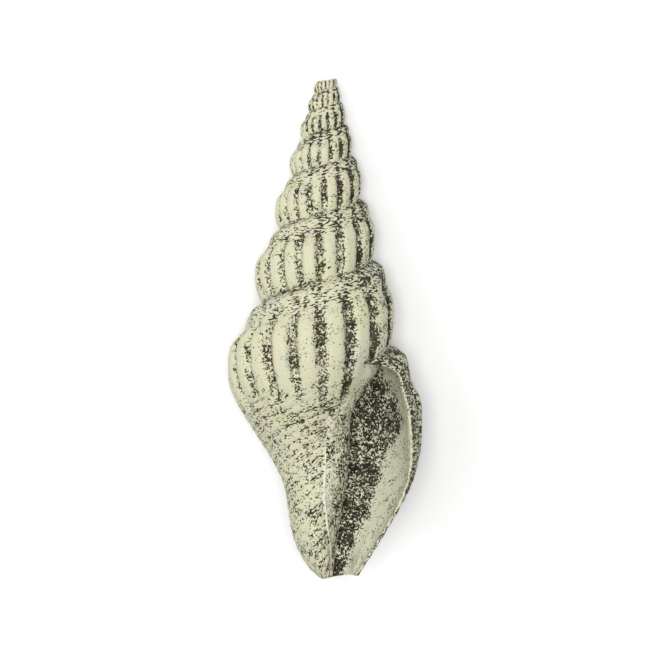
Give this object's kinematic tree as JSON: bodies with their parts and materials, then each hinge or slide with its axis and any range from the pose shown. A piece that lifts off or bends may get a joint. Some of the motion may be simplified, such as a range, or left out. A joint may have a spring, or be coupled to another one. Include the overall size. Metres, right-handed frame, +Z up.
{
  "type": "fossil crassispira shell",
  "caption": "Fossil turret shell: tall ribbed spire with a broken tip, a long open mouth with a thin outer lip, and a short canal.",
  "frame": {"origin": "centre of the object's footprint on the floor, as it lies on its back", "axes": "+Z up, +Y towards the broken apex, +X towards the outer lip's side"},
  "size_m": [0.0132, 0.033, 0.0111],
  "materials": {
    "shell": "matte"
  },
  "bodies": {
    "root": {"shell": "shell"}
  },
  "joints": []
}
